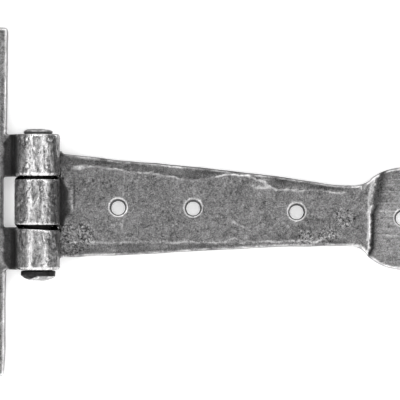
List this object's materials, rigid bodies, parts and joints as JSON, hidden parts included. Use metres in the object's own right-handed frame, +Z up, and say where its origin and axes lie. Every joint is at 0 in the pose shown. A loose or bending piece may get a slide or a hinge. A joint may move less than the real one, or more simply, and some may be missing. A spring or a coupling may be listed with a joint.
{
  "type": "tee hinge",
  "caption": "Hand-forged tee hinge with an upright frame plate, rolled knuckles, a riveted pin and a long tapered strap that ends in a thinner round penny.",
  "frame": {"origin": "centre of the frame plate's back face, the face that is screwed to the door frame", "axes": "+Z up along the pin, +Y out of the plate's back face into the door frame, +X along the strap towards its penny end"},
  "size_m": [0.1877, 0.0158, 0.127],
  "materials": {
    "plate_steel": "hand-forged pewtered grey, rubbed brighter on edges and knuckles",
    "strap_steel": "hand-forged pewtered grey with a dark patina in the hammer marks",
    "pin_steel": "dark forged steel with peened heads"
  },
  "bodies": {
    "frame": {"frame_plate": "plate_steel", "hinge_pin": "pin_steel"},
    "strap": {"strap": "strap_steel"}
  },
  "joints": [
    {"name": "strap_swing", "type": "hinge", "parent": "frame", "child": "strap", "pos_m": [0.02355, -0.0079, 0], "axis": [0, 0, -1], "range_deg": [0, 180]}
  ]
}
